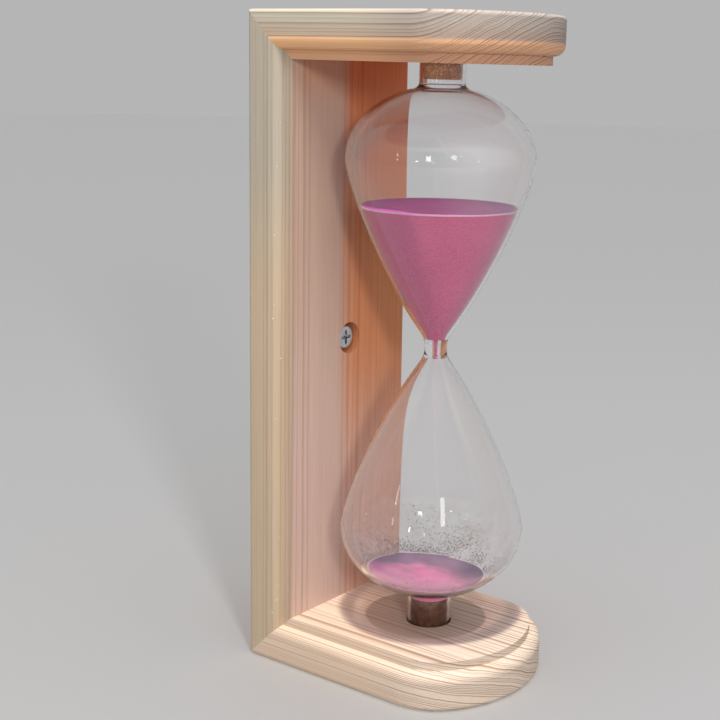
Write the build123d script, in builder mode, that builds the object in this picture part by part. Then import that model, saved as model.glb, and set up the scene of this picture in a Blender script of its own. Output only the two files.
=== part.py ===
from build123d import *
import os

# Hourglass in a pine frame that is turned over about a pivot bolt in its back board.
# Millimetres. The origin is on the base board's underside, on the glass axis.
# +Z is up and the bowed front faces -Y.

# Frame
frame_height = 300.0
board_width = 94.0
board_thickness = 21.0
front_reach = 52.0  # glass axis to the foremost point of the bowed front
side_reach = 28.0  # glass axis forward to where the straight sides would meet the bow
corner_round = 30.0  # plan rounding between the straight sides and the bowed front
back_room = 8.1  # widest ring of the glass to the back board's inner face
moulding_round = 4.8  # quarter round along the inner edges
moulding_step = 4.0  # top of the quarter round up to the inner face
moulding_quirk = 0.4  # narrow flat between the quarter round and the step up to the inner face
arris_round = 1.8  # sanded outer edges

# Mitre joints
dowel_radius = 3.0
dowel_length = 20.0
dowel_spacing = 54.0
dowel_clearance = 0.05
dowel_end_gap = 0.5
dowel_chamfer = 0.75

# Glass
lower_collar = 14.5  # base board's inner face up to the lower bulb's end
upper_collar = 9.5  # upper bulb's end up to the top board's inner face
bulb_radius = 42.4
dome_height = 32.3  # widest ring of a bulb to its end
glass_wall = 1.5
neck_radius = 5.2
neck_length = 2.0
throat_round = 9.5  # hollow round between the neck and a bulb's flank
flare_angle = 35.0  # flank's slope from the glass axis where it leaves the throat
flank_pull_neck = 0.45  # how far the flank keeps its slope as it leaves the throat
flank_pull_belly = 0.10  # how soon the flank turns upright below the widest ring
web_half_height = 4.5  # the solid glass at the neck, above and below its middle
orifice_radius = 1.0
tube_radius = 10.25
tube_root_round = 2.5

# Seats of the glass in the boards
socket_depth = 7.0
socket_clearance = 0.4
felt_thickness = 1.5
felt_clearance = 0.3

# Corks
cork_recess = 2.5  # cork's inner face below the bulb's end
cork_clearance = 0.05
cork_chamfer = 0.8

# Sand
sand_gap = 0.15  # between the sand and the glass or cork
upper_sand_height = 64.5  # above the middle of the neck, at the glass
upper_sand_dish = 1.5  # how much lower its middle is
lower_sand_depth = 10.0  # above the bulb's end, at the glass
lower_sand_heap = 2.5  # how much higher its middle is

# Pivot
bolt_radius = 3.0
bolt_engagement = 8.1  # thread in the wall disc's insert
head_radius = 6.0
head_height = 3.6
head_dome = 1.4
recess_width = 1.6
recess_span = 7.0
recess_depth = 2.2
counterbore_radius = 7.5
counterbore_depth = 7.0
washer_radius = 6.8
washer_thickness = 1.2
washer_bore_clearance = 0.2
bush_radius = 4.75
bush_seat_clearance = 0.05
bush_running_clearance = 0.06
running_gap = 0.1  # end play each side of the frame

# Wall disc
spacer_radius = 9.0
spacer_thickness = 1.5
disc_radius = 30.0
disc_thickness = 12.0
disc_edge_round = 2.0
insert_radius = 4.5
insert_length = 10.0
insert_clearance = 0.05
insert_tip_gap = 0.5
screw_spacing = 40.0
screw_hole_radius = 2.25
screw_sink_radius = 4.5
screw_sink_angle = 90

# Small edges
ring_chamfer = 0.3
bolt_tip_chamfer = 0.8
radius_tolerance = 0.01

# Worked-out places
inner_face = bulb_radius + back_room
back_reach = inner_face + board_thickness
moulding_rise = board_thickness - moulding_step
top_inner_height = frame_height - board_thickness
pivot_height = frame_height / 2
bulb_length = (top_inner_height - board_thickness - lower_collar - upper_collar) / 2
neck_height = board_thickness + lower_collar + bulb_length
widest_height = bulb_length - dome_height
tube_end = board_thickness - socket_depth + felt_thickness
upper_tube_end = frame_height - tube_end
socket_radius = tube_radius + socket_clearance
bore_radius = tube_radius - glass_wall
counterbore_floor = inner_face + counterbore_depth
washer_face = counterbore_floor - running_gap - washer_thickness
spacer_face = back_reach + running_gap
disc_face = spacer_face + spacer_thickness
disc_back = disc_face + disc_thickness
bolt_length = disc_face + bolt_engagement - washer_face

neck_plane = Plane((0, 0, neck_height), x_dir=(1, 0, 0), z_dir=(0, -1, 0))


def pivot_plane(y):
    """Upright plane across the pivot bolt at y, facing the front."""
    return Plane((0, y, pivot_height), x_dir=(1, 0, 0), z_dir=(0, -1, 0))


def shelf_outline():
    """Plan of the base and top boards: straight back and sides, bowed front."""
    half_width = board_width / 2
    with BuildSketch() as plan:
        with BuildLine():
            Polyline((-half_width, -side_reach), (-half_width, back_reach),
                     (half_width, back_reach), (half_width, -side_reach))
            ThreePointArc((half_width, -side_reach), (0, -front_reach), (-half_width, -side_reach))
        make_face()
        fillet(plan.vertices().sort_by(Axis.Y)[:2], corner_round)
    return plan.sketch


def upright_outline():
    """Face of the back board, before its mitres."""
    with BuildSketch() as face:
        with Locations((0, frame_height / 2)):
            Rectangle(board_width, frame_height)
    return face.sketch


def moulded_board(outline, outer_plane):
    """Board grown from its outer face: flat edge, quarter round, quirk and step up to the inner face."""
    with BuildPart() as board:
        with BuildSketch(outer_plane):
            add(outline)
        extrude(amount=moulding_rise)
        growth = Axis(outer_plane.origin, outer_plane.z_dir)
        fillet(board.faces().sort_by(growth)[-1].edges(), moulding_round)
        with BuildSketch(outer_plane.offset(moulding_rise)):
            offset(outline, amount=-(moulding_round + moulding_quirk))
        extrude(amount=moulding_step)
        fillet(board.faces().sort_by(growth)[0].edges(), arris_round)
    return board.part


def mitre_plane(outer_height, up):
    """45 degree plane through the outer edge at the back, facing the shelf board's side; up is 1 or -1."""
    return Plane((0, back_reach, outer_height), x_dir=(1, 0, 0), z_dir=(0, -1, -up))


def joint_plane(outer_height, up):
    """The mitre plane, centred on the joint."""
    middle = board_thickness / 2
    centre = (0, back_reach - middle, outer_height + up * middle)
    return Plane(centre, x_dir=(1, 0, 0), z_dir=(0, -1, -up))


def dowels(outer_height, up):
    """Two dowels across the mitre joint at the given end of the frame."""
    with BuildPart() as pair:
        with Locations(joint_plane(outer_height, up)):
            with GridLocations(dowel_spacing, 0, 2, 1):
                Cylinder(dowel_radius, dowel_length)
        chamfer(pair.edges().filter_by(GeomType.CIRCLE), dowel_chamfer)
    return pair


def dowel_holes(outer_height, up):
    """Room for the two dowels, with a gap past each end."""
    with BuildPart() as holes:
        with Locations(joint_plane(outer_height, up)):
            with GridLocations(dowel_spacing, 0, 2, 1):
                Cylinder(dowel_radius + dowel_clearance, dowel_length + 2 * dowel_end_gap)
    return holes.part


def bulb_section(inset):
    """Half section of one bulb above the neck, set in from the outer surface by inset."""
    neck_point = Vector(neck_radius - inset, neck_length / 2)
    widest = Vector(bulb_radius - inset, widest_height)
    with BuildSketch() as section:
        with BuildLine():
            Polyline((0, 0), (neck_point.X, 0), neck_point)
            throat = JernArc(neck_point, (0, 1), throat_round + inset, -flare_angle)
            chord = (widest - throat @ 1).length
            Bezier(throat @ 1, throat @ 1 + throat % 1 * flank_pull_neck * chord,
                   widest - Vector(0, 1) * flank_pull_belly * chord, widest)
            dome = EllipticalCenterArc((0, widest_height), widest.X, dome_height - inset, arc_size=90)
            Line(dome @ 1, (0, 0))
        make_face()
    return section.sketch


def glass_section(inset):
    """Half section of both bulbs and their tubes, set in from the outer surface by inset."""
    with BuildSketch() as section:
        half = bulb_section(inset)
        add(half)
        mirror(half, about=Plane.XZ)
        for tube_bottom, tube_top in ((tube_end - neck_height, -widest_height),
                                      (widest_height, upper_tube_end - neck_height)):
            with Locations((0, tube_bottom)):
                Rectangle(tube_radius - inset, tube_top - tube_bottom, align=(Align.MIN, Align.MIN))
    return section.sketch


def cavity_section(inset):
    """Half section of the room inside the glass, without the orifice."""
    web_height = 2 * (web_half_height + inset - glass_wall)
    with BuildSketch() as section:
        add(glass_section(inset))
        Rectangle(2 * bulb_radius, web_height, mode=Mode.SUBTRACT)
    return section.sketch


def sand_room(floor, rim, middle):
    """Half section of the space the sand may take: level floor, surface from its rim to its middle."""
    with BuildSketch() as room:
        with BuildLine():
            Polyline((0, middle), (0, floor), (bulb_radius, floor), (bulb_radius, rim))
            TangentArc((0, middle), (bulb_radius, rim), tangent=(1, 0))
        make_face()
    return room.sketch


def cork(bottom, top):
    """Cork stopper between two heights on the glass axis."""
    with BuildPart() as stopper:
        with BuildSketch(Plane.XY.offset(bottom)):
            Circle(bore_radius - cork_clearance)
        extrude(amount=top - bottom)
        chamfer(stopper.edges().filter_by(GeomType.CIRCLE), cork_chamfer)
    return stopper


def ring(outer_radius, inner_radius, near, far):
    """Washer or bush on the pivot axis, from near to far behind the glass axis."""
    with BuildPart() as round_piece:
        with BuildSketch(pivot_plane(far)):
            Circle(outer_radius)
            Circle(inner_radius, mode=Mode.SUBTRACT)
        extrude(amount=far - near)
        chamfer(round_piece.edges().filter_by(GeomType.CIRCLE), ring_chamfer)
    return round_piece


# Frame boards
shelf_blank = moulded_board(shelf_outline(), Plane.XY)
upright_blank = moulded_board(upright_outline(), Plane.XZ.offset(-back_reach))
lower_dowel_holes = dowel_holes(0, 1)
upper_dowel_holes = dowel_holes(frame_height, -1)

with BuildPart() as base_board:
    add(shelf_blank)
    split(bisect_by=mitre_plane(0, 1), keep=Keep.TOP)
    with Locations((0, 0, board_thickness)):
        Hole(socket_radius, socket_depth)
    add(lower_dowel_holes, mode=Mode.SUBTRACT)

with BuildPart() as top_board:
    mirror(base_board.part, about=Plane.XY.offset(frame_height / 2))

with BuildPart() as back_board:
    add(upright_blank)
    split(bisect_by=mitre_plane(0, 1), keep=Keep.BOTTOM)
    split(bisect_by=mitre_plane(frame_height, -1), keep=Keep.BOTTOM)
    with Locations(pivot_plane(inner_face)):
        CounterBoreHole(bush_radius + bush_seat_clearance, counterbore_radius, counterbore_depth)
    add(lower_dowel_holes, mode=Mode.SUBTRACT)
    add(upper_dowel_holes, mode=Mode.SUBTRACT)

base_mitre_dowels = dowels(0, 1)
top_mitre_dowels = dowels(frame_height, -1)

# Glass
glass_outside = glass_section(0)
glass_inside = cavity_section(glass_wall)

with BuildPart() as glass_bulbs:
    with BuildSketch(neck_plane):
        add(glass_outside)
        add(glass_inside, mode=Mode.SUBTRACT)
        Rectangle(2 * orifice_radius, 4 * web_half_height, mode=Mode.SUBTRACT)
    revolve(axis=Axis.Z)
    tube_roots = glass_bulbs.edges().filter_by(
        lambda edge: edge.geom_type == GeomType.CIRCLE
        and abs(edge.radius - tube_radius) < radius_tolerance
        and board_thickness < edge.center().Z < top_inner_height)
    fillet(tube_roots, tube_root_round)

# Seats and stoppers
lower_cork_top = board_thickness + lower_collar - cork_recess
upper_cork_bottom = top_inner_height - upper_collar + cork_recess
lower_cork = cork(tube_end, lower_cork_top)
upper_cork = cork(upper_cork_bottom, upper_tube_end)

with BuildPart() as lower_felt:
    with BuildSketch(Plane.XY.offset(tube_end)):
        Circle(socket_radius - felt_clearance)
    extrude(amount=-felt_thickness)

with BuildPart() as upper_felt:
    mirror(lower_felt.part, about=Plane.XY.offset(frame_height / 2))

# Sand
sand_inside = cavity_section(glass_wall + sand_gap)
upper_room = sand_room(0, upper_sand_height, upper_sand_height - upper_sand_dish)
lower_rim = lower_sand_depth - bulb_length
lower_room = sand_room(lower_cork_top + sand_gap - neck_height, lower_rim, lower_rim + lower_sand_heap)

with BuildPart() as upper_sand:
    with BuildSketch(neck_plane):
        add(sand_inside)
        add(upper_room, mode=Mode.INTERSECT)
    revolve(axis=Axis.Z)

with BuildPart() as lower_sand:
    with BuildSketch(neck_plane):
        add(sand_inside)
        add(lower_room, mode=Mode.INTERSECT)
    revolve(axis=Axis.Z)

# Pivot
with BuildPart() as pivot_bolt:
    with BuildSketch(pivot_plane(washer_face)):
        Circle(head_radius)
    extrude(amount=head_height)
    fillet(pivot_bolt.faces().sort_by(Axis.Y)[0].edges(), head_dome)
    with BuildSketch(pivot_plane(washer_face - head_height)):
        SlotOverall(recess_span, recess_width)
        SlotOverall(recess_span, recess_width, rotation=90)
    extrude(amount=-recess_depth, mode=Mode.SUBTRACT)
    with BuildSketch(pivot_plane(washer_face)):
        Circle(bolt_radius)
    extrude(amount=-bolt_length)
    chamfer(pivot_bolt.faces().sort_by(Axis.Y)[-1].edges(), bolt_tip_chamfer)

washer_bore = bolt_radius + washer_bore_clearance
head_washer = ring(washer_radius, washer_bore, washer_face, washer_face + washer_thickness)
pivot_bush = ring(bush_radius, bolt_radius + bush_running_clearance, counterbore_floor, back_reach)
spacer_washer = ring(spacer_radius, washer_bore, spacer_face, disc_face)
disc_insert = ring(insert_radius, bolt_radius + insert_clearance, disc_face, disc_face + insert_length)

with BuildPart() as wall_disc:
    with BuildSketch(pivot_plane(disc_back)):
        Circle(disc_radius)
    extrude(amount=disc_thickness)
    fillet(wall_disc.faces().sort_by(Axis.Y)[0].edges(), disc_edge_round)
    with Locations(pivot_plane(disc_face)):
        Hole(insert_radius + insert_clearance, insert_length + insert_tip_gap)
        with GridLocations(screw_spacing, 0, 2, 1):
            CounterSinkHole(screw_hole_radius, screw_sink_radius, counter_sink_angle=screw_sink_angle)

pieces = {
    "back_board": back_board,
    "base_board": base_board,
    "top_board": top_board,
    "base_mitre_dowels": base_mitre_dowels,
    "top_mitre_dowels": top_mitre_dowels,
    "glass_bulbs": glass_bulbs,
    "lower_cork": lower_cork,
    "upper_cork": upper_cork,
    "lower_felt": lower_felt,
    "upper_felt": upper_felt,
    "lower_sand": lower_sand,
    "upper_sand": upper_sand,
    "pivot_bolt": pivot_bolt,
    "head_washer": head_washer,
    "pivot_bush": pivot_bush,
    "spacer_washer": spacer_washer,
    "disc_insert": disc_insert,
    "wall_disc": wall_disc,
}

os.makedirs("parts", exist_ok=True)
for name, piece in pieces.items():
    piece.part.label = name
    export_step(piece.part, f"parts/{name}.step")
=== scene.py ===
import bmesh
import bpy
import math
import random
from mathutils import Matrix, Vector, noise


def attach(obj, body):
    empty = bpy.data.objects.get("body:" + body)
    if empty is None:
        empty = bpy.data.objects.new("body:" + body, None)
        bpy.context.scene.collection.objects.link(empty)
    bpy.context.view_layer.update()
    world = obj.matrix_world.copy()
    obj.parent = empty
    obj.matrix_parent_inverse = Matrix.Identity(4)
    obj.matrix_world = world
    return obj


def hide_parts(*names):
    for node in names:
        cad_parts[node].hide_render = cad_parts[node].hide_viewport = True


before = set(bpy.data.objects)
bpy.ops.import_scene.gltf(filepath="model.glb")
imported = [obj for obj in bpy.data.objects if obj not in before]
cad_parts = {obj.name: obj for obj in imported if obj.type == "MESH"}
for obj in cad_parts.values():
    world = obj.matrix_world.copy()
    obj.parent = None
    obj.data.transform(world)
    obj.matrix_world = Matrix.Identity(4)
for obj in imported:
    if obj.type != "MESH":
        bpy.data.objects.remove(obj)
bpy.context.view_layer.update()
scene = bpy.context.scene
MM = 0.001


# ---------------------------------------------------------------- shader helpers

class Shader:
    """A material's node tree, with short calls for the nodes that are used here."""

    def __init__(self, name):
        self.material = bpy.data.materials.new(name)
        self.material.use_nodes = True
        self.tree = self.material.node_tree
        self.surface = self.tree.nodes["Principled BSDF"]
        self.output = self.tree.nodes["Material Output"]
        self.place = self.node("ShaderNodeTexCoord").outputs["Object"]

    def node(self, kind, **settings):
        made = self.tree.nodes.new(kind)
        for key, value in settings.items():
            setattr(made, key, value)
        return made

    def join(self, source, socket):
        """Put a socket's link or a plain value into an input."""
        if isinstance(source, bpy.types.NodeSocket):
            self.tree.links.new(source, socket)
        else:
            socket.default_value = source

    def math(self, operation, first, second=0.0):
        made = self.node("ShaderNodeMath", operation=operation)
        self.join(first, made.inputs[0])
        self.join(second, made.inputs[1])
        return made.outputs[0]

    def vector(self, operation, first, second=(0, 0, 0), result="Vector"):
        made = self.node("ShaderNodeVectorMath", operation=operation)
        self.join(first, made.inputs[0])
        self.join(second, made.inputs[1])
        return made.outputs[result]

    def noise(self, place, scale, detail=2.0, roughness=0.5):
        made = self.node("ShaderNodeTexNoise")
        self.join(place, made.inputs["Vector"])
        made.inputs["Scale"].default_value = scale
        made.inputs["Detail"].default_value = detail
        made.inputs["Roughness"].default_value = roughness
        return made.outputs["Fac"]

    def spread(self, value, low, high, out_low=0.0, out_high=1.0, smooth=False):
        """Map low..high of a value to out_low..out_high, clamped."""
        kind = "SMOOTHSTEP" if smooth else "LINEAR"
        made = self.node("ShaderNodeMapRange", interpolation_type=kind)
        self.join(value, made.inputs["Value"])
        sockets = ("From Min", "From Max", "To Min", "To Max")
        for socket, number in zip(sockets, (low, high, out_low, out_high)):
            made.inputs[socket].default_value = number
        return made.outputs["Result"]

    def mix(self, share, first, second, blend="MIX"):
        """Mix two colours, each a link or three numbers."""
        made = self.node("ShaderNodeMix", data_type="RGBA", blend_type=blend)
        self.join(share, made.inputs["Factor"])
        for value, socket in ((first, made.inputs["A"]), (second, made.inputs["B"])):
            self.join(value if isinstance(value, bpy.types.NodeSocket) else (*value, 1.0), socket)
        return made.outputs["Result"]

    def ramp(self, value, stops):
        """Grey ramp through (position, level) stops."""
        made = self.node("ShaderNodeValToRGB")
        elements = made.color_ramp.elements
        while len(elements) < len(stops):
            elements.new(0.5)
        for element, (position, level) in zip(elements, stops):
            element.position = position
            element.color = (level, level, level, 1.0)
        self.join(value, made.inputs["Fac"])
        return made.outputs["Color"]

    def bump(self, height, distance, strength=1.0):
        made = self.node("ShaderNodeBump")
        made.inputs["Strength"].default_value = strength
        made.inputs["Distance"].default_value = distance
        self.join(height, made.inputs["Height"])
        self.join(made.outputs["Normal"], self.surface.inputs["Normal"])

    def tint(self, share, colour, tone):
        """Multiply a colour by a tone, by a share."""
        return self.mix(share, colour, self.mix(1.0, colour, tone, "MULTIPLY"))

    def height(self):
        """Height in the object's frame, in metres."""
        parts = self.node("ShaderNodeSeparateXYZ")
        self.join(self.place, parts.inputs[0])
        return parts.outputs[2]

    def set(self, **values):
        """Set inputs of the surface shader: Base_Color stands for "Base Color"."""
        for key, value in values.items():
            socket = self.surface.inputs[key.replace("_", " ")]
            if isinstance(value, tuple) and len(value) == 3 and socket.type == "RGBA":
                value = (*value, 1.0)
            self.join(value, socket)


def dress(name, material):
    """Give a CAD node its material."""
    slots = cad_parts[name].data.materials
    slots.clear()
    slots.append(material)


# ---------------------------------------------------------------- wood

# For each direction of the grain: what is measured across it, and how much its noise is drawn out
ALONG = {"Y": ((1, 0, 1), (1, 0.03, 1)), "Z": ((1, 1, 0), (1, 1, 0.03))}
TO_MM = (1000, 1000, 1000)
# Late wood through one year, as (share of the year, how dark)
SEASON = ((0.0, 0.06), (0.34, 0.0), (0.66, 0.20), (0.86, 0.95), (0.94, 1.0), (1.0, 0.10))


def pine(name, along, pith, ring_width, palette, seed, sway=1.6, heart=None, tints=(), end_grain=None):
    """Softwood with growth rings about a pith line that runs along the board, all in millimetres.

    pith is a point on that line and palette is (early wood, late wood, how strong the late wood shows).
    heart is (edge x, early wood, late wood) for a board that reaches into the heartwood; the heartwood
    weakens lower down, so that its full strength paints shade on the board's upper part. tints is a list
    of (places, colour): the colour multiplies the wood where every (axis, from, to) of places has been
    passed; most tints are painted light and shade. end_grain is (y from, y to, how much stronger the
    rings show there).
    """
    s = Shader(name)
    early, latest, contrast = palette
    across, stretch = ALONG[along]
    place = s.vector("MULTIPLY", s.place, TO_MM)
    shifted = s.vector("ADD", place, (seed * 37.0, seed * 91.0, seed * 53.0))

    # Rings: the distance from the pith, bent slowly along the board and wavering a little
    long_grain = s.vector("MULTIPLY", shifted, stretch)
    bend = s.noise(long_grain, 0.03, 2.0)
    waver = s.noise(long_grain, 0.14, 3.0)
    from_pith = s.vector("MULTIPLY", s.vector("SUBTRACT", place, pith), across)
    radius = s.vector("LENGTH", from_pith, result="Value")
    radius = s.math("ADD", radius, s.spread(bend, 0.3, 0.7, -sway, sway))
    radius = s.math("ADD", radius, s.spread(waver, 0.3, 0.7, -0.22, 0.22))

    # Good and poor years change the rings' width, and each year has its own strength of late wood
    years = s.node("ShaderNodeCombineXYZ")
    s.join(radius, years.inputs[0])
    growth = s.spread(s.noise(years.outputs[0], 0.21, 1.0), 0.25, 0.75, -1.5, 1.5)
    rings = s.math("ADD", s.math("DIVIDE", radius, ring_width), growth)
    late = s.ramp(s.math("FRACT", rings), SEASON)
    which_year = s.node("ShaderNodeTexWhiteNoise", noise_dimensions="1D")
    s.join(s.math("FLOOR", rings), which_year.inputs["W"])
    late = s.math("MULTIPLY", late, s.spread(which_year.outputs["Value"], 0, 1, 0.35 * contrast, contrast))
    side = s.node("ShaderNodeSeparateXYZ")
    s.join(place, side.inputs[0])
    if end_grain:
        start, end, strength = end_grain
        late = s.math("MULTIPLY", late, s.spread(side.outputs[1], start, end, 1.0, strength))

    # Colour: early and late wood, heartwood, tints by zone (mostly painted light and shade), then fibres,
    # streaks and patches
    fibre_place = s.vector("MULTIPLY", shifted, tuple(0.012 if f < 1 else 1.0 for f in stretch))
    fibre = s.noise(fibre_place, 2.6, 4.0, 0.65)
    streak = s.noise(fibre_place, 0.45, 2.0)
    patch = s.noise(long_grain, 0.05, 2.0)
    colour = s.mix(late, early, latest)
    if heart:
        edge, heart_early, heart_late = heart
        border = s.math("ADD", side.outputs[0], s.spread(waver, 0.3, 0.7, -2.6, 2.6))
        share = s.spread(border, edge - 2.5, edge + 9.0, smooth=True)
        # The heartwood is weaker below z 85 to 150, which paints shade on its upper part
        share = s.math("MULTIPLY", share, s.spread(side.outputs[2], 85, 150, 0.36, 1.0, smooth=True))
        colour = s.mix(share, colour, s.mix(late, heart_early, heart_late))
    # Tints by zone, most of them painted light and shade
    for places, tone in tints:
        share = 1.0
        for axis, start, end in places:
            share = s.math("MULTIPLY", s.spread(side.outputs[axis], start, end, smooth=True), share)
        colour = s.tint(share, colour, tone)
    colour = s.tint(s.spread(fibre, 0.35, 0.7, 0.0, 0.20), colour, latest)
    colour = s.tint(s.spread(streak, 0.35, 0.65, 0.0, 0.16), colour, (0.86, 0.78, 0.72))
    colour = s.tint(s.spread(patch, 0.35, 0.65, 0.0, 0.14), colour, (0.95, 0.86, 0.74))
    s.set(Base_Color=colour, Roughness=s.spread(late, 0, 1, 0.58, 0.44), Specular_IOR_Level=0.22,
          Coat_Weight=0.03, Coat_Roughness=0.35)
    relief = s.math("ADD", s.math("MULTIPLY", late, 0.6), s.math("MULTIPLY", fibre, 0.5))
    s.bump(relief, 0.12 * MM, 0.55)
    return s.material


# Early wood, late wood, how strong the late wood shows
BACK = ((0.60, 0.47, 0.33), (0.42, 0.30, 0.19), 0.80)
BASE = ((0.74, 0.59, 0.455), (0.40, 0.25, 0.17), 1.00)
TOP = ((0.48, 0.43, 0.345), (0.26, 0.20, 0.155), 1.00)
# Edge x, early wood, late wood
HEART = (-6.5, (0.72, 0.32, 0.125), (0.52, 0.19, 0.065))
DOWEL = ((0.55, 0.38, 0.24), (0.45, 0.30, 0.18), 0.8)

X, Y, Z = range(3)
BOW = (5, -40)  # y where the boards' bowed front begins and where it is fully reached
FACE = (Y, 60, 54)  # the side of the back board that faces the glass
# Painted light and shade on the back board: right of its left moulding it is painted pinker, as in the
# light that falls there, and its inner face is painted lighter lower down; painted shade darkens the top of
# the inner face and the heartwood's upper part. The last tint makes the left edge darker and cooler towards
# the top.
BACK_PAINTED_LIGHT_AND_TINTS = [([(X, -43, -40)], (1.00, 0.90, 1.00)),
              ([(X, -43, -40), FACE, (Z, 190, 60)], (1.20, 1.25, 1.36)),
              ([(X, -40, -30), FACE, (Z, 256, 276)], (1.06, 0.84, 0.70)),
              ([(X, -8, 6), FACE, (Z, 200, 262)], (0.98, 0.86, 0.76)),
              ([(X, -40, -43), (Z, 170, 245)], (0.80, 0.91, 1.03))]
BASE_TINTS = [([(Y, 10, -30)], (1.00, 1.06, 1.13))]
# Painted light and shade on the top board: shade on the lower part of its edge, warm light thrown up onto
# the round of its moulding, shade on the step under that, and shade towards its front.
TOP_PAINTED_LIGHT_AND_SHADE = [([(Z, 297, 289)], (0.92, 0.80, 0.74)), ([(Z, 289.5, 287)], (2.05, 1.52, 1.05)),
             ([(Z, 284, 282)], (0.82, 0.80, 0.88)), ([(Y, 20, -25)], (0.80, 0.78, 0.86))]
dress("back_board", pine("pine_back", "Z", (-16, 92, 0), 1.45, BACK, 1, 1.0, HEART, BACK_PAINTED_LIGHT_AND_TINTS))
dress("base_board", pine("pine_base", "Y", (-110, 0, -260), 1.15, BASE, 2, 1.1,
                         tints=BASE_TINTS, end_grain=(*BOW, 1.8)))
dress("top_board", pine("pine_top", "Y", (18, 0, 222), 1.40, TOP, 3, 1.1,
                        tints=TOP_PAINTED_LIGHT_AND_SHADE, end_grain=(*BOW, 1.5)))
dress("wall_disc", pine("pine_disc", "Z", (60, 40, 0), 1.6, BASE, 4))
beech = pine("beech_dowel", "Y", (0, 0, 60), 0.9, DOWEL, 5)
dress("base_mitre_dowels", beech)
dress("top_mitre_dowels", beech)


# ---------------------------------------------------------------- metal, cork, felt

PIVOT = (0, 0, 0.15)  # a point on the pivot axis, in metres


def metal(name, colour, roughness, grain):
    """Turned metal: fine rings about the pivot axis and a few scuffs."""
    s = Shader(name)
    from_axis = s.vector("MULTIPLY", s.vector("SUBTRACT", s.place, PIVOT), (1, 0, 1))
    radius = s.vector("LENGTH", from_axis, result="Value")
    turned = s.node("ShaderNodeCombineXYZ")
    s.join(radius, turned.inputs[0])
    rings = s.noise(turned.outputs[0], 5200, 3.0, 0.7)
    scuff = s.noise(s.place, 420, 5.0, 0.6)
    dull = tuple(c * 0.72 for c in colour)
    s.set(Base_Color=s.mix(s.spread(scuff, 0.4, 0.7, 0, 0.7), colour, dull), Metallic=1.0,
          Roughness=s.spread(scuff, 0.35, 0.7, roughness, roughness + 0.18))
    s.bump(rings, grain * MM, 0.6)
    return s.material


zinc = metal("zinc_steel", (0.66, 0.66, 0.68), 0.22, 0.02)
brass = metal("turned_brass", (0.72, 0.52, 0.24), 0.28, 0.02)
for node in ("pivot_bolt", "head_washer", "spacer_washer"):
    dress(node, zinc)
for node in ("pivot_bush", "disc_insert"):
    dress(node, brass)


def cork_material(name, painted_light_and_shade):
    """Pressed cork. depth multiplies its colours: below one it paints shade, above one it paints light."""
    s = Shader(name)
    cells = s.node("ShaderNodeTexVoronoi", feature="F1")
    s.join(s.place, cells.inputs["Vector"])
    cells.inputs["Scale"].default_value = 420
    cracks = s.node("ShaderNodeTexVoronoi", feature="DISTANCE_TO_EDGE")
    s.join(s.vector("ADD", s.place, (0.3, 0.1, 0.2)), cracks.inputs["Vector"])
    cracks.inputs["Scale"].default_value = 260
    grey = s.node("ShaderNodeSeparateColor")
    s.join(cells.outputs["Color"], grey.inputs[0])
    pits = s.spread(s.noise(s.place, 520, 3.0), 0.56, 0.66)
    colour = s.mix(grey.outputs[0], (0.36, 0.185, 0.095), (0.22, 0.10, 0.05))
    colour = s.mix(s.spread(cracks.outputs["Distance"], 0.0, 0.06, 0.8, 0.0), colour, (0.09, 0.04, 0.02))
    colour = s.mix(s.math("MULTIPLY", pits, 0.7), colour, (0.10, 0.045, 0.02))
    colour = s.mix(1.0, colour, painted_light_and_shade, "MULTIPLY")
    s.set(Base_Color=colour, Roughness=0.85, Specular_IOR_Level=0.2)
    s.bump(s.math("SUBTRACT", grey.outputs[0], pits), 0.25 * MM, 0.8)
    return s.material


def felt_material():
    """Dark brown wool felt."""
    s = Shader("wool_felt")
    fuzz = s.noise(s.place, 2600, 4.0, 0.7)
    clump = s.noise(s.place, 380, 3.0)
    s.set(Base_Color=s.mix(clump, (0.06, 0.045, 0.04), (0.14, 0.11, 0.09)), Roughness=0.95,
          Specular_IOR_Level=0.1, Sheen_Weight=0.4, Sheen_Roughness=0.5)
    s.bump(fuzz, 0.3 * MM, 0.8)
    return s.material


felt = felt_material()
for node in ("lower_felt", "upper_felt"):
    dress(node, felt)


# ---------------------------------------------------------------- round pieces

# The glass, in millimetres. It is the same above and below the middle of its neck.
NECK = 152.5  # height of the middle of the neck
NECK_RADIUS, NECK_HALF = 5.2, 1.0
THROAT_ROUND, FLARE = 9.5, math.radians(35)  # hollow round beside the neck, and where it ends
PULL_NECK, PULL_BELLY = 0.45, 0.10  # how full the flank's curve is at its two ends
BELLY_RADIUS, BELLY_HEIGHT = 42.4, 84.7  # the widest ring, and its distance from the neck's middle
DOME = 32.3  # from the widest ring to the end of the bulb
TUBE_RADIUS, ROOT_ROUND = 10.25, 2.5
WALL, WEB_HALF, ORIFICE = 1.5, 4.5, 1.0  # the web is the thick glass about the orifice
LOWER_TUBE_END, UPPER_TUBE_END = 15.5, 284.5
SAND_GAP = 0.15
SAND_INSET = WALL + SAND_GAP
GLASS_SEGMENTS, SAND_SEGMENTS, CORK_SEGMENTS = 200, 128, 96


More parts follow.
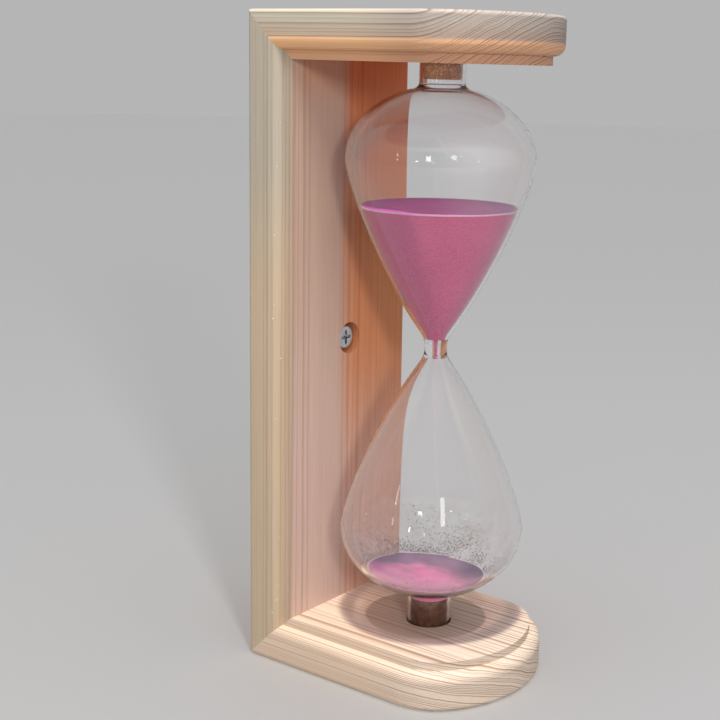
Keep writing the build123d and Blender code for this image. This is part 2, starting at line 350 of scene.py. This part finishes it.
def flank(inset):
    """Points (radius, distance from the neck's middle) from the neck to the widest ring."""
    turn_centre = NECK_RADIUS + THROAT_ROUND
    turn = THROAT_ROUND + inset
    points = [(turn_centre - turn * math.cos(FLARE * i / 14), NECK_HALF + turn * math.sin(FLARE * i / 14))
              for i in range(15)]
    start, end = Vector(points[-1]), Vector((BELLY_RADIUS - inset, BELLY_HEIGHT))
    chord = (end - start).length
    first = start + Vector((math.sin(FLARE), math.cos(FLARE))) * PULL_NECK * chord
    second = end - Vector((0, PULL_BELLY * chord))
    for i in range(1, 61):
        t = i / 60
        p = (start * (1 - t) ** 3 + first * 3 * t * (1 - t) ** 2
             + second * 3 * t * t * (1 - t) + end * t ** 3)
        points.append((p.x, p.y))
    return points


def dome(inset, last_radius, steps=44):
    """Points from just past the widest ring to last_radius, on the bulb's end."""
    wide, high = BELLY_RADIUS - inset, DOME - inset
    stop = math.acos(last_radius / wide)
    return [(wide * math.cos(stop * i / steps), BELLY_HEIGHT + high * math.sin(stop * i / steps))
            for i in range(1, steps + 1)]


def tube_root():
    """Where the bulb's end stops, as a radius, and the points of the hollow round up to its tube."""
    wide, high = BELLY_RADIUS, DOME
    low, top = 0.0, math.pi / 2
    for _ in range(40):  # halve the range until the round just touches the tube
        angle = (low + top) / 2
        normal = Vector((math.cos(angle) / wide, math.sin(angle) / high)).normalized()
        centre = Vector((wide * math.cos(angle), high * math.sin(angle))) + normal * ROOT_ROUND
        low, top = (angle, top) if centre.x > TUBE_RADIUS + ROOT_ROUND else (low, angle)
    first = math.atan2(-normal.y, -normal.x)
    turns = [first + (-math.pi - first) * i / 10 for i in range(11)]
    points = [(centre.x + ROOT_ROUND * math.cos(a), BELLY_HEIGHT + centre.y + ROOT_ROUND * math.sin(a))
              for a in turns]
    return wide * math.cos(angle), points


def lathe(name, section, segments, closed, material, shift=None):
    """Surface of revolution about the glass axis from a section of (radius, height) in millimetres.

    shift(radius, height, angle) gives small changes (radius, height) for each point.
    """
    mesh = bpy.data.meshes.new(name)
    vertices, faces = [], []
    for step in range(segments):
        angle = 2 * math.pi * step / segments
        for radius, height in section:
            if shift:
                more_radius, more_height = shift(radius, height, angle)
                radius, height = radius + more_radius, height + more_height
            vertices.append((radius * math.cos(angle) * MM, radius * math.sin(angle) * MM, height * MM))
    count = len(section)
    for step in range(segments):
        this, after = step * count, (step + 1) % segments * count
        for i in range(count if closed else count - 1):
            j = (i + 1) % count
            faces.append((this + i, after + i, after + j, this + j))
    mesh.from_pydata(vertices, [], faces)
    mesh.materials.append(material)
    cleaner = bmesh.new()
    cleaner.from_mesh(mesh)
    bmesh.ops.remove_doubles(cleaner, verts=cleaner.verts, dist=1e-6)
    bmesh.ops.recalc_face_normals(cleaner, faces=cleaner.faces)
    cleaner.to_mesh(mesh)
    cleaner.free()
    mesh.shade_smooth()
    mesh.set_sharp_from_angle(angle=math.radians(38))
    piece = bpy.data.objects.new(name, mesh)
    scene.collection.objects.link(piece)
    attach(piece, "flip_frame")
    return piece


# ---------------------------------------------------------------- glass

RIGHT_SIDE = (0.579, -0.815, 0)  # the dustier side of the upper bulb


def glass_material():
    """Clear blown glass with a thin film of dust inside it. Its heights are in metres.

    Rays on their way to a lamp pass straight through, dimmed where they graze the glass, and
    brightened in a narrow ring where a round bulb gathers them.
    """
    s = Shader("clear_glass")
    height = s.height()

    # Dust settles above the lower sand, and a fainter breath of it covers one side of the upper bulb
    cloud = s.spread(s.noise(s.place, 55, 4.0, 0.6), 0.35, 0.70)
    settled = s.math("MULTIPLY", s.spread(height, 0.078, 0.050, 0.0, 0.14, smooth=True), cloud)
    settled = s.math("MULTIPLY", settled, s.spread(height, 0.043, 0.049))
    across = s.vector("DOT_PRODUCT", s.place, RIGHT_SIDE, result="Value")
    breath = s.math("MULTIPLY", s.spread(across, -0.008, 0.022, smooth=True),
                    s.spread(height, 0.216, 0.218, 0.0, 0.065))
    film = s.math("ADD", settled, s.math("ADD", breath, s.spread(height, 0.150, 0.155, 0.012, 0.004)))
    film = s.math("MULTIPLY", film, s.spread(height, 0.034, 0.040))
    dust_and_painted_shadow = s.mix(s.spread(settled, 0.0, 0.12), (1.0, 1.0, 1.0), (0.86, 0.84, 0.83))
    s.set(Base_Color=dust_and_painted_shadow, Roughness=0.0, IOR=1.46, Transmission_Weight=s.math("SUBTRACT", 1.0, film))

    # What light loses or gains on its way through, by how much it grazes the glass
    weight = s.node("ShaderNodeLayerWeight")
    weight.inputs["Blend"].default_value = 0.5
    grazing = weight.outputs["Facing"]
    band = s.spread(grazing, 0.30, 0.40, smooth=True)
    edge = s.spread(grazing, 0.62, 0.95)
    shade = s.mix(band, (0.965, 0.885, 0.865), (0.60, 0.59, 0.64))
    shade = s.mix(edge, shade, (0.74, 0.70, 0.74))
    gathered = s.math("MULTIPLY", s.spread(grazing, 0.27, 0.31, smooth=True),
                      s.spread(grazing, 0.36, 0.32, smooth=True))
    gathered = s.math("MULTIPLY", gathered, s.spread(s.noise(s.place, 38, 3.0), 0.50, 0.60))
    shade = s.mix(gathered, shade, (1.15, 1.11, 1.06))
    outer = s.math("MULTIPLY", s.spread(grazing, 0.54, 0.57, smooth=True),
                   s.spread(grazing, 0.62, 0.59, smooth=True))
    outer = s.math("MULTIPLY", outer, s.spread(s.noise(s.place, 21, 2.0), 0.50, 0.58))
    shade = s.mix(outer, shade, (1.02, 0.99, 0.98))
    passed = s.node("ShaderNodeBsdfTransparent")
    s.join(shade, passed.inputs["Color"])
    path = s.node("ShaderNodeLightPath")
    blend = s.node("ShaderNodeMixShader")
    direct = s.math("MAXIMUM", path.outputs["Is Shadow Ray"], path.outputs["Is Diffuse Ray"])
    s.join(direct, blend.inputs[0])
    s.join(s.surface.outputs[0], blend.inputs[1])
    s.join(passed.outputs[0], blend.inputs[2])
    s.join(blend.outputs[0], s.output.inputs["Surface"])
    return s.material


def glass_section():
    """Closed section of the glass: up its outside, down its inside."""
    root_start, root = tube_root()
    outside = flank(0) + [p for p in dome(0, TUBE_RADIUS) if p[0] > root_start] + root
    bore = TUBE_RADIUS - WALL
    inside = [p for p in flank(WALL) if p[1] > WEB_HALF] + dome(WALL, bore)
    half_chord = math.sqrt((THROAT_ROUND + WALL) ** 2 - (WEB_HALF - NECK_HALF) ** 2)
    web_edge = NECK_RADIUS + THROAT_ROUND - half_chord
    inside = [(ORIFICE, WEB_HALF), (web_edge, WEB_HALF)] + inside
    up = [(r, NECK + h) for r, h in outside] + [(TUBE_RADIUS, UPPER_TUBE_END), (bore, UPPER_TUBE_END)]
    up += [(r, NECK + h) for r, h in reversed(inside)]
    down = [(r, NECK - h) for r, h in inside] + [(bore, LOWER_TUBE_END), (TUBE_RADIUS, LOWER_TUBE_END)]
    down += [(r, NECK - h) for r, h in reversed(outside)]
    return up + down


glass = lathe("blown_glass", glass_section(), GLASS_SEGMENTS, True, glass_material())
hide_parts("glass_bulbs")


# ---------------------------------------------------------------- sand and corks

def sand_material(name, palette, painted_shade_on_top, rim, painted_shadow_side=None, lean=None):
    """Dyed sand: fine grains of slightly different colours.

    palette is (body, bright grains, dark grains). painted_shade_on_top multiplies the top surface as
    painted shade. rim is (radius, height) of its edge in millimetres, where a highlight is painted.
    painted_shadow_side is (direction, low, high, colour) of a painted shadow on the top surface towards one
    side; on the other side the painted shade of the top is taken off again. lean is
    (direction, change of radius, change of height) of the rim on that side.
    """
    s = Shader(name)
    body, bright, dull = palette

    # Each grain has its own shade, and the shade drifts a little from place to place
    grains = s.node("ShaderNodeTexVoronoi", feature="F1")
    s.join(s.place, grains.inputs["Vector"])
    grains.inputs["Scale"].default_value = 2400
    tone = s.node("ShaderNodeSeparateColor")
    s.join(grains.outputs["Color"], tone.inputs[0])
    drift = s.noise(s.place, 60, 3.0)
    colour = s.mix(s.math("MULTIPLY", tone.outputs[0], 0.6), body, bright)
    colour = s.mix(s.spread(tone.outputs[1], 0.75, 1.0, 0, 0.6), colour, dull)
    colour = s.tint(s.spread(drift, 0.35, 0.65, 0, 0.25), colour, (0.9, 0.78, 0.86))

    # The top surface, by which way it faces: painted shade on it, and a painted shadow towards one side
    up = s.node("ShaderNodeSeparateXYZ")
    s.join(s.node("ShaderNodeNewGeometry").outputs["Normal"], up.inputs[0])
    top = s.spread(up.outputs[2], 0.70, 0.95, smooth=True)
    place = s.vector("MULTIPLY", s.place, TO_MM)
    painted_shade_top_colour = s.mix(1.0, colour, painted_shade_on_top, "MULTIPLY")
    if painted_shadow_side:
        direction, low, high, dust_and_painted_shadow = painted_shadow_side
        along = s.vector("DOT_PRODUCT", place, direction, result="Value")
        along = s.math("ADD", along, s.spread(s.noise(s.place, 90, 3.0), 0.3, 0.7, -5.0, 5.0))
        painted_shade_top_colour = s.mix(s.spread(along, low, high, smooth=True), painted_shade_top_colour, dust_and_painted_shadow)
        painted_shade_top_colour = s.mix(s.spread(along, low + 2, low - 8, smooth=True), painted_shade_top_colour, colour)
    colour = s.mix(top, colour, painted_shade_top_colour)

    # A painted highlight along the rim, by how far away from it a point is
    apart = s.node("ShaderNodeSeparateXYZ")
    s.join(place, apart.inputs[0])
    radius = s.vector("LENGTH", s.vector("MULTIPLY", place, (1, 1, 0)), result="Value")
    across = s.math("SUBTRACT", radius, rim[0])
    above = s.math("SUBTRACT", apart.outputs[2], rim[1])
    if lean:
        towards, wider, higher = lean
        share = s.math("DIVIDE", s.vector("DOT_PRODUCT", place, towards, result="Value"), radius)
        across = s.math("SUBTRACT", across, s.math("MULTIPLY", share, wider))
        above = s.math("SUBTRACT", above, s.math("MULTIPLY", share, higher))
    squares = s.math("ADD", s.math("MULTIPLY", across, across), s.math("MULTIPLY", above, above))
    away = s.math("SQRT", squares)
    colour = s.mix(s.spread(away, 1.1, 0.35, 0.0, 0.92, smooth=True), colour, (1.0, 0.72, 0.85))
    s.set(Base_Color=colour, Roughness=0.9, Specular_IOR_Level=0.15,
          Sheen_Weight=0.12, Sheen_Roughness=0.6)
    s.bump(s.math("SUBTRACT", 1.0, grains.outputs["Distance"]), 0.12 * MM, 0.7)
    return s.material


def surface(rim_radius, rim_height, middle_height, rings=46):
    """Section of a sand surface from just inside its rim to its middle."""
    rise = middle_height - rim_height
    return [(rim_radius * (1 - i / rings), rim_height + rise * (1 - (1 - i / rings) ** 2))
            for i in range(1, rings + 1)]


# Bumps of the sand's surface, as (how many in a millimetre, height in millimetres)
BUMPS = ((0.11, 0.55), (0.45, 0.22), (1.7, 0.10))


def uneven(rim_height, reach, seed):
    """Small hollows and humps of the sand's surface, which fade out at the glass."""
    def shift(radius, height, angle):
        share = max(0.0, 1 - abs(height - rim_height) / 4) * (1 - (radius / reach) ** 6)
        if share <= 0 or radius >= reach:
            return 0.0, 0.0
        spot = Vector((radius * math.cos(angle), radius * math.sin(angle), seed))
        rise = sum(noise.noise(spot * rate) * size for rate, size in BUMPS)
        return 0.0, rise * share
    return shift


def radius_at(points, height):
    """Radius of a flank or dome at a distance from the neck's middle."""
    for (r0, h0), (r1, h1) in zip(points, points[1:]):
        if h0 <= height <= h1:
            return r0 + (r1 - r0) * (height - h0) / (h1 - h0)


# Body, bright grains, dark grains
UPPER_PINK = ((0.68, 0.125, 0.285), (0.80, 0.24, 0.45), (0.48, 0.070, 0.18))
LOWER_PINK = ((0.78, 0.20, 0.44), (0.92, 0.36, 0.60), (0.55, 0.12, 0.30))
SHADED_PINK = ((0.17, 0.12, 0.13), (0.30, 0.20, 0.23), (0.07, 0.05, 0.05))
FAR_SIDE = (0.815, 0.579, 0)  # where loose grains cling to the glass
PAINTED_SHADOW_SIDE = (0.96, 0.278, 0)  # where a violet shadow is painted on the lower sand's top
LEAN, LEAN_SIDE = 2.5, (0.998, 0.059, 0)  # the lower sand's rim lies this much lower on this side
UPPER_RIM, UPPER_MIDDLE = 64.5, 63.0  # above the middle of the neck
LOWER_RIM, LOWER_MIDDLE = 107.0, 104.5  # below the middle of the neck
CORK_TOP, UPPER_CORK_FOOT = 33.0, 272.0  # heights of the corks' inner ends

inner_flank = flank(SAND_INSET)
rim = radius_at(inner_flank, UPPER_RIM)
thread = ORIFICE - SAND_GAP  # the sand that is running through the neck
foot = WEB_HALF + SAND_GAP
wall = [(thread, -WEB_HALF + SAND_GAP), (thread, foot), (radius_at(inner_flank, foot), foot)]
wall += [p for p in inner_flank if foot < p[1] < UPPER_RIM] + [(rim, UPPER_RIM)]
section = [(0, wall[0][1])] + wall + surface(rim, UPPER_RIM, UPPER_MIDDLE)
section = [(r, NECK + h) for r, h in section]
# The upper sand's top gets a violet painted shade, and its rim a painted highlight
upper_pink = sand_material("pink_sand", UPPER_PINK, (0.92, 0.34, 1.55), (rim, NECK + UPPER_RIM))
upper_sand = lathe("upper_sand_heap", section, SAND_SEGMENTS, False, upper_pink,
                   uneven(NECK + UPPER_RIM, rim, 3.0))
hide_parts("upper_sand")

bore = TUBE_RADIUS - SAND_INSET
inner_dome = dome(SAND_INSET, bore, 80)
rim = radius_at(inner_dome, LOWER_RIM)
wall = [(rim, LOWER_RIM)] + [p for p in inner_dome if p[1] > LOWER_RIM]
bottom = NECK - CORK_TOP - SAND_GAP
section = surface(rim, LOWER_RIM, LOWER_MIDDLE)[::-1] + wall + [(bore, bottom), (0, bottom)]
section = [(r, NECK - h) for r, h in section]
narrowing = (radius_at(inner_dome, LOWER_RIM + LEAN) - radius_at(inner_dome, LOWER_RIM - LEAN)) / 2
# The lower sand's top gets painted shade, a painted violet shadow towards one side, and its rim a painted
# highlight
lower_pink = sand_material("pink_sand_below", LOWER_PINK, (0.66, 0.62, 0.68), (rim, NECK - LOWER_RIM),
                           (PAINTED_SHADOW_SIDE, -12.0, 2.0, (0.14, 0.060, 0.155)), (LEAN_SIDE, narrowing, -LEAN))


def leaning(bumps, reach):
    """Lean the lower sand: its rim slides along the glass and its surface follows."""
    end = inner_dome[-1][1]

    def shift(radius, height, angle):
        distance = NECK - height
        drop = LEAN * math.cos(angle - math.atan2(LEAN_SIDE[1], LEAN_SIDE[0]))
        if distance > end - 0.05:
            return 0.0, 0.0
        if radius < reach - 1e-6 and distance < LOWER_RIM:
            wider = radius_at(inner_dome, LOWER_RIM + drop) / reach - 1
            return radius * wider, bumps(radius, height, angle)[1] - drop * radius / reach
        moved = end - (end - distance) * (end - LOWER_RIM - drop) / (end - LOWER_RIM)
        return radius_at(inner_dome, moved) - radius, distance - moved
    return shift


lower_sand = lathe("lower_sand_heap", section, SAND_SEGMENTS, False, lower_pink,
                   leaning(uneven(NECK - LOWER_RIM, rim, 8.0), rim))
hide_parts("lower_sand")


def cork_piece(name, foot, top, material, seed):
    """Stopper with a rounded edge and pitted faces."""
    radius, edge = TUBE_RADIUS - WALL - 0.06, 1.0
    spokes = [radius * i / 16 for i in range(16)]
    section = [(r, foot) for r in spokes] + [(radius - edge * 0.3, foot), (radius, foot + edge)]
    rows = max(4, int((top - foot) / 0.5))
    section += [(radius, foot + edge + (top - foot - 2 * edge) * i / rows) for i in range(1, rows)]
    section += [(radius, top - edge), (radius - edge * 0.3, top)] + [(r, top) for r in reversed(spokes)]

    def shift(r, h, angle):
        spot = Vector((r * math.cos(angle), r * math.sin(angle), h + seed))
        hollow = max(0.0, noise.noise(spot * 0.55) - 0.12) * 0.9
        dent = hollow + max(0.0, noise.noise(spot * 1.6) - 0.2) * 0.6
        inward = -dent if r > radius * 0.9 else 0.0
        end = dent if h < foot + edge / 2 else (-dent if h > top - edge / 2 else 0.0)
        return inward, end
    return lathe(name, section, CORK_SEGMENTS, False, material, shift)


# The same cork as painted shade on the lower stopper and as painted light on the upper one
painted_shade_cork = cork_material("painted_shade_cork", (0.45, 0.38, 0.42))
painted_light_cork = cork_material("pressed_cork_painted_light", (2.7, 2.5, 1.6))
lower_cork = cork_piece("lower_stopper", LOWER_TUBE_END, CORK_TOP, painted_shade_cork, 5.0)
upper_cork = cork_piece("upper_stopper", UPPER_CORK_FOOT, UPPER_TUBE_END, painted_light_cork, 40.0)
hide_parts("lower_cork")
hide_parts("upper_cork")


def scatter(name, spots, material):
    """One mesh of small eight-sided grains at (place, size) spots, in millimetres."""
    mesh = bpy.data.meshes.new(name)
    vertices, faces = [], []
    corners = [Vector(c) for c in ((1, 0, 0), (0, 1, 0), (-1, 0, 0), (0, -1, 0), (0, 0, 1), (0, 0, -1))]
    sides = ((0, 1, 4), (1, 2, 4), (2, 3, 4), (3, 0, 4), (1, 0, 5), (2, 1, 5), (3, 2, 5), (0, 3, 5))
    full_turn = 6.28
    for place, size in spots:
        first = len(vertices)
        turn = Matrix.Rotation(random.uniform(0, full_turn), 3, "Z")
        turn = turn @ Matrix.Rotation(random.uniform(0, full_turn), 3, "X")
        for corner in corners:
            vertices.append((Vector(place) + turn @ corner * size * random.uniform(0.7, 1.2)) * MM)
        faces += [tuple(first + i for i in side) for side in sides]
    mesh.from_pydata(vertices, [], faces)
    mesh.materials.append(material)
    piece = bpy.data.objects.new(name, mesh)
    scene.collection.objects.link(piece)
    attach(piece, "flip_frame")
    return piece


random.seed(11)
GRAINS, MEAN_CLIMB, MOST_CLIMB = 2400, 4.0, 22  # millimetres above the sand
inner_wall = flank(WALL + 0.3) + dome(WALL + 0.3, 20)
clinging = []
far_angle = math.atan2(FAR_SIDE[1], FAR_SIDE[0])
while len(clinging) < GRAINS:
    above = random.expovariate(1 / MEAN_CLIMB)
    if above > MOST_CLIMB:
        continue
    angle = random.gauss(far_angle, 0.9) if random.random() < 0.8 else random.uniform(0, 2 * math.pi)
    height = LOWER_RIM + LEAN * math.cos(angle) - 0.3 - above
    radius = radius_at(inner_wall, height)
    spot = (radius * math.cos(angle), radius * math.sin(angle), NECK - height)
    if noise.noise(Vector(spot) * 0.09) > random.uniform(-0.35, 0.25):
        clinging.append((spot, random.uniform(0.12, 0.34)))
dark_sand = sand_material("shaded_sand", SHADED_PINK, (1.0, 1.0, 1.0), (0, 0))
scatter("clinging_grains", clinging, dark_sand)


# ---------------------------------------------------------------- resin

def resin_material():
    """Dried resin: pale, clear and glossy."""
    s = Shader("dried_resin")
    amber = s.mix(s.noise(s.place, 900, 2.0), (0.95, 0.88, 0.72), (0.85, 0.70, 0.45))
    s.set(Base_Color=amber, Roughness=0.12, Coat_Weight=0.5, Coat_Roughness=0.1)
    return s.material


# The quarter round of the back board's left edge, as (x, y) of its axis and its radius
MOULDING_CENTRE, MOULDING_ROUND = (-42.2, 59.3), 4.8
BEAD_HEIGHTS = (24, 29, 38, 62, 118, 147, 165, 172, 201, 234, 252)
beads = []
for height in BEAD_HEIGHTS:
    tilt = math.radians(random.uniform(18, 70))
    reach = MOULDING_ROUND + 0.05
    beads.append(((MOULDING_CENTRE[0] - reach * math.sin(tilt), MOULDING_CENTRE[1] - reach * math.cos(tilt),
                   height + random.uniform(-2, 2)), random.uniform(0.20, 0.42)))
scatter("resin_beads", beads, resin_material())


# ---------------------------------------------------------------- floor, light and camera

def floor_material():
    """Plain pale desk."""
    s = Shader("pale_floor")
    distance = s.vector("LENGTH", s.place, result="Value")
    colour = s.mix(s.spread(distance, 0.2, 1.6), (0.97, 0.965, 0.95), (0.97, 0.97, 0.97))
    s.set(Base_Color=colour, Roughness=0.8, Specular_IOR_Level=0.1)
    return s.material


bpy.ops.mesh.primitive_circle_add(vertices=96, radius=6.0, fill_type="NGON", location=(0, 0, -0.0002))
floor = bpy.context.object
floor.name = "floor"
floor.data.materials.append(floor_material())

world = bpy.data.worlds.new("studio")
scene.world = world
world.use_nodes = True
world.node_tree.nodes["Background"].inputs["Color"].default_value = (0.465, 0.465, 0.470, 1.0)
world.node_tree.nodes["Background"].inputs["Strength"].default_value = 1.0


def area_light(name, place, target, size, power, colour=(1, 1, 1)):
    data = bpy.data.lights.new(name, "AREA")
    data.shape = "RECTANGLE"
    data.size, data.size_y = size
    data.energy = power
    data.color = colour
    light = bpy.data.objects.new(name, data)
    light.location = place
    light.rotation_euler = (Vector(target) - Vector(place)).to_track_quat("-Z", "Y").to_euler()
    scene.collection.objects.link(light)
    return light


WARM, COOL = (1.0, 0.98, 0.95), (0.94, 0.96, 1.0)
lamp = area_light("ceiling_lamp", (-0.25, -0.16, 0.99), (0, 0, 0.05), (0.06, 0.06), 11.5, WARM)
window = area_light("window", (-0.95, -1.19, 0.62), (0, 0, 0.15), (0.16, 0.26), 8.0, COOL)
window.visible_glossy = False  # the glass mirrors the panes below instead
soft_lamp = area_light("soft_lamp", (-0.30, -0.30, 0.99), (0, 0, 0.05), (0.40, 0.40), 6.5, WARM)


def link_light(light, state, objects):
    """Light only these objects (INCLUDE) or all but these (EXCLUDE)."""
    receivers = bpy.data.collections.new(f"{light.name}_receivers")
    light.light_linking.receiver_collection = receivers
    for thing in objects:
        receivers.objects.link(thing)
    for member in receivers.collection_objects:
        member.light_linking.link_state = state


# The round shadow of the bulb belongs on the base; the back board gets the same light softer
link_light(lamp, "EXCLUDE", (floor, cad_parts["back_board"]))
link_light(soft_lamp, "INCLUDE", (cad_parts["back_board"],))

# Small bright panes that the glass mirrors: (place, width, height, power)
PANES = (((-1.198, -0.166, 0.341), 0.045, 0.050, 0.10), ((-1.081, -0.555, 0.321), 0.030, 0.040, 0.03),
         ((-1.089, -0.435, 0.474), 0.014, 0.045, 0.02), ((-1.110, 0.337, 0.501), 0.020, 0.110, 0.08),
         ((-1.160, 0.335, 0.337), 0.020, 0.060, 0.03))
for number, (spot, width, tall, power) in enumerate(PANES):
    area_light(f"pane_{number}", spot, (0, 0, 0.08), (width, tall), power)

# A tall dim strip, such as the edge of a curtain, that leans with the glass's flank
strip_foot, strip_head = Vector((-0.765, -0.790, 0.520)), Vector((-0.631, -0.378, 1.096))
strip = area_light("curtain_edge", (strip_foot + strip_head) / 2, (0, 0, 0.11), (0.05, 0.75), 0.06)
outward = strip.location.normalized()
along_strip = (strip_head - strip_foot).normalized()
along_strip = (along_strip - outward * along_strip.dot(outward)).normalized()
strip.rotation_euler = Matrix((along_strip.cross(outward), along_strip, outward)).transposed().to_euler()

# The camera, fitted to the frame's corners and the bulbs in the photo
camera_data = bpy.data.cameras.new("camera")
camera = bpy.data.objects.new("camera", camera_data)
scene.collection.objects.link(camera)
scene.camera = camera
camera_data.sensor_width = 36.0
camera_data.lens = 67.46
camera_data.shift_x = -0.1063
camera_data.shift_y = -0.0165
camera_data.clip_start = 0.01
azimuth, elevation, roll = math.radians(-54.65), math.radians(12.0), math.radians(1.51)
level = Vector((math.sin(azimuth), -math.cos(azimuth), 0))
back = level * math.cos(elevation) + Vector((0, 0, math.sin(elevation)))
right = Vector((math.cos(azimuth), math.sin(azimuth), 0))
up = back.cross(right)
turned_right = right * math.cos(roll) + up * math.sin(roll)
turned_up = up * math.cos(roll) - right * math.sin(roll)
turned = Matrix((turned_right, turned_up, back)).transposed()
camera.matrix_world = Matrix.Translation((-0.4889, -0.3473, 0.2797)) @ turned.to_4x4()

scene.view_settings.view_transform = "Standard"
